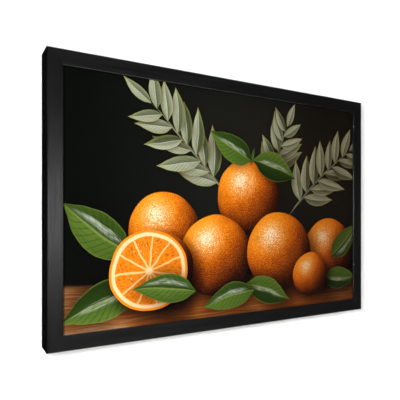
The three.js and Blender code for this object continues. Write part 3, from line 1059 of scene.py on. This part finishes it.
def pan_head_screw(node, steel):
    """A pan head with a cross recess, on a plain shank."""
    low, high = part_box(node)
    x, z = (low.x + high.x) / 2, (low.z + high.z) / 2
    radius = (high.x - low.x) / 2
    outline = [(share * radius, high.y - drop * MM) for share, drop in PAN_HEAD]
    outline += [(SHANK_RADIUS, high.y - HEAD_HEIGHT), (SHANK_RADIUS - 0.1 * MM, low.y + 3 * MM), (0, low.y)]
    bm = bmesh.new()
    verts = [bm.verts.new((x + out, y, z)) for out, y in outline]
    edges = [bm.edges.new(pair) for pair in zip(verts, verts[1:])]
    bmesh.ops.spin(
        bm, geom=verts + edges, cent=(x, 0, z), axis=(0, 1, 0), angle=2 * math.pi, steps=32, use_merge=True
    )
    merge_doubles(bm)
    face_out(bm)
    screw = place_piece("pan_head_" + node.removeprefix("clip_"), bm, [steel], 35, [node])
    cut_recess(screw, (x, high.y, z))


def cut_recess(screw, top):
    """Cuts the driver's tapered cross into a screw's head."""
    bm = bmesh.new()
    for angle in (0, math.pi / 2):
        blade = block(bm, RECESS_SIZE)
        for vert in blade:
            if vert.co.y < 0:
                vert.co.x *= RECESS_TAPER
        put(bm, top, angle + RECESS_TURN, blade)
    driver = new_object("driver", bm)
    cut = screw.modifiers.new("recess", "BOOLEAN")
    cut.operation = "DIFFERENCE"
    cut.solver = "EXACT"
    cut.use_self = True
    cut.object = driver
    settled = screw.evaluated_get(bpy.context.evaluated_depsgraph_get())
    finished = bpy.data.meshes.new_from_object(settled)
    screw.modifiers.clear()
    screw.data = finished
    bpy.data.meshes.remove(driver.data)


def build_back(steel):
    pine = sawn_wood("pine_across", False, *PINE), sawn_wood("pine_upright", True, *PINE)
    key_wood = sawn_wood("key_wood", False, *BEECH)
    zinc, felt = zinc_plate(), grey_felt()
    for side in SIDES:
        eased_copy("stretcher_bar_" + side, 0.7 * MM, pine[side in ("left", "right")])
    for corner in CORNERS:
        for number in ("_1", "_2"):
            eased_copy("corner_key_" + corner + number, 0.25 * MM, key_wood)
            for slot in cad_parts["v_nail_" + corner + number].material_slots:
                slot.material = steel
    for place in CLIP_PLACES:
        eased_copy("canvas_clip_" + place, 0.2 * MM, zinc)
        pan_head_screw("clip_screw_" + place, steel)
    eased_copy("sawtooth_hanger", 0.16 * MM, zinc)
    for hand in ("left", "right"):
        eased_copy("hanger_nail_" + hand, 0.15 * MM, steel)
        eased_copy("wall_pad_" + hand, 0.5 * MM, felt, 3)


# ---- Camera, wall, floor and light ----

FOCAL_PIXELS = 443.52
IMAGE_PIXELS = 400
HORIZON_ROW = 217.99
CAMERA_PLACE = (-0.5464, -0.8712, -0.2929)
CAMERA_TURN = math.radians(-29.228)

WALL_WHITE = 0.98
WALL_GLOW = 0.06
WALL_GAP = 0.6 * MM
WALL_SIZE, FLOOR_SIZE = 12.0, 14.0
SKY_MATT = 0.40
SKY_SEEN = 0.92
FLOOR_DROP = 1.45
FLOOR_GLOW = 0.30

# What a light reaches: matt surfaces, or only gloss.
MATT, GLOSS = (True, False), (False, True)


def build_camera():
    data = bpy.data.cameras.new("camera")
    data.lens = data.sensor_width * FOCAL_PIXELS / IMAGE_PIXELS
    data.shift_y = (HORIZON_ROW - IMAGE_PIXELS / 2) / IMAGE_PIXELS
    data.clip_start = 0.01
    camera = bpy.data.objects.new("camera", data)
    camera.location = CAMERA_PLACE
    camera.rotation_euler = (math.pi / 2, 0, CAMERA_TURN)
    bpy.context.scene.collection.objects.link(camera)
    bpy.context.scene.camera = camera


def camera_ray(tree):
    return add_node(tree, "LightPath", output="Is Camera Ray")


def stage_plane(name, size, place, angle, material):
    bm = flat_grid(1, 1, size, size)
    put(bm, place, angle, bm.verts, "X")
    plane = new_object(name, bm, [material])
    plane.visible_glossy = False
    return plane


def wall_paint():
    """White wall seen from the front only, so that the back of the picture stays in view."""
    material = bpy.data.materials.new("white_wall")
    material.use_nodes = True
    tree = material.node_tree
    tree.nodes.remove(tree.nodes["Principled BSDF"])
    paint = add_node(tree, "BsdfDiffuse", {"Color": [WALL_WHITE] * 3})
    lit = add_node(tree, "AddShader", {0: paint, 1: add_node(tree, "Emission", {"Strength": WALL_GLOW})})
    seen = camera_ray(tree) * (1.0 - add_node(tree, "NewGeometry", output="Backfacing"))
    shown = add_node(tree, "MixShader", {0: seen, 1: add_node(tree, "BsdfTransparent"), 2: lit})
    join(shown, tree.nodes["Material Output"].inputs["Surface"])
    return material


def floor_paint():
    material, place = new_material("pale_floor")
    fleck = noise(place, 3.0, 4.0)
    return finish(
        material,
        Base_Color=tint(fleck, (0.74, 0.73, 0.72), (0.80, 0.79, 0.78)),
        Roughness=0.7 + fleck * 0.2,
        Specular_IOR_Level=0.2,
        Emission_Strength=camera_ray(place.tree) * FLOOR_GLOW,
    )


def area_light(name, place, target, width, height, watts, reaches):
    data = bpy.data.lights.new(name, "AREA")
    data.shape = "RECTANGLE"
    data.size, data.size_y = width, height
    data.energy = watts
    light = bpy.data.objects.new(name, data)
    light.location = place
    light.rotation_mode = "QUATERNION"
    light.rotation_quaternion = (Vector(target) - Vector(place)).to_track_quat("-Z", "Y")
    light.visible_diffuse, light.visible_glossy = reaches
    light.visible_camera = False
    bpy.context.scene.collection.objects.link(light)
    return light


def even_with_distance(light):
    """Lets a light reach near and far places with the same strength."""
    light.data.use_nodes = True
    tree = light.data.node_tree
    falloff = add_node(tree, "LightFalloff", {"Strength": 1.0}, "Constant")
    join(falloff, tree.nodes["Emission"].inputs["Strength"])


def choose_target(light, target, state):
    """Lets a light reach a single object, with INCLUDE, or all but that one, with EXCLUDE."""
    group = bpy.data.collections.new(light.name + "_target")
    group.objects.link(target)
    group.collection_objects[0].light_linking.link_state = state
    light.light_linking.receiver_collection = group


def build_sky():
    """Even light from all round, which matt surfaces get and gloss doesn't show."""
    world = bpy.data.worlds.new("studio")
    world.use_nodes = True
    bpy.context.scene.world = world
    background = world.node_tree.nodes["Background"]
    join(mix("FLOAT", camera_ray(world.node_tree), SKY_MATT, SKY_SEEN), background.inputs["Strength"])
    join((1, 1, 1), background.inputs["Color"])
    world.cycles_visibility.glossy = False


def build_stage():
    wall = stage_plane("wall", WALL_SIZE, (0, WALL_GAP, CENTRE.z), math.pi / 2, wall_paint())
    wall.visible_diffuse = False
    wall.visible_shadow = False
    stage_plane("floor", FLOOR_SIZE, (0, 0, -FLOOR_DROP), 0, floor_paint())
    build_sky()
    # Name, place, what it points at, width, height, watts and what it reaches.
    lights = (
        ("side", (-2.40, -2.2, 0.33), CENTRE, 0.48, 0.48, 100, MATT),
        ("front", (-0.4, -3.0, 0.6), CENTRE, 1.2, 1.2, 13, MATT),
        ("wall_wash", (-0.69, -0.87, -0.208), (0.72, 0, -0.26), 0.26, 0.16, 11.2, MATT),
        ("sheen", (0.04, -2.5, -0.295), (0.04, 0, -0.295), 0.70, 0.40, 8.6, GLOSS),
        ("edge", (-2.3, -2.2, -0.30), (0.40, -0.05, -0.30), 0.4, 0.5, 0.75, GLOSS),
        ("below", (0.36, -0.34, -1.40), (0.36, -0.34, 0), 1.75, 0.6, 21, GLOSS),
        ("above", (0.35, -0.45, 1.00), (0.35, -0.45, 0), 1.6, 0.6, 6, GLOSS),
        ("flank_left", (-3.5, -0.3, CENTRE.z), CENTRE, 1.2, 1.0, 3.5, GLOSS),
        ("flank_right", (3.5, -0.3, CENTRE.z), CENTRE, 1.2, 1.0, 3.5, GLOSS),
        ("behind", (1.5, 2.6, 0.5), CENTRE, 2.0, 2.4, 60, MATT),
        ("behind_shine", (1.5, 2.6, 0.5), CENTRE, 3.0, 2.6, 80, GLOSS),
        ("behind_low", (1.5, 2.2, -0.95), CENTRE, 2.6, 1.0, 6, GLOSS),
    )
    side, front, wash, _, edge, *_ = [area_light(*light) for light in lights]
    choose_target(side, wall, "EXCLUDE")
    choose_target(front, wall, "EXCLUDE")
    choose_target(wash, wall, "INCLUDE")
    even_with_distance(wash)
    edge.data.spread = math.radians(13)


# ---- Assembly ----


def main():
    bpy.context.scene.view_settings.view_transform = "Standard"
    build_camera()
    build_stage()
    primed = canvas_cloth("primed_canvas", (0.80, 0.79, 0.76), (0.66, 0.63, 0.57), 0.72)
    raw = canvas_cloth("raw_canvas", (0.72, 0.67, 0.57), (0.56, 0.50, 0.40), 0.80)
    steel = bare_steel()
    build_frame()
    canvas = build_canvas(primed, raw)
    folds = [corner_fold(across, up, primed) for across in (-1, 1) for up in (-1, 1)]
    staples = build_staples(steel)
    build_back(steel)


main()
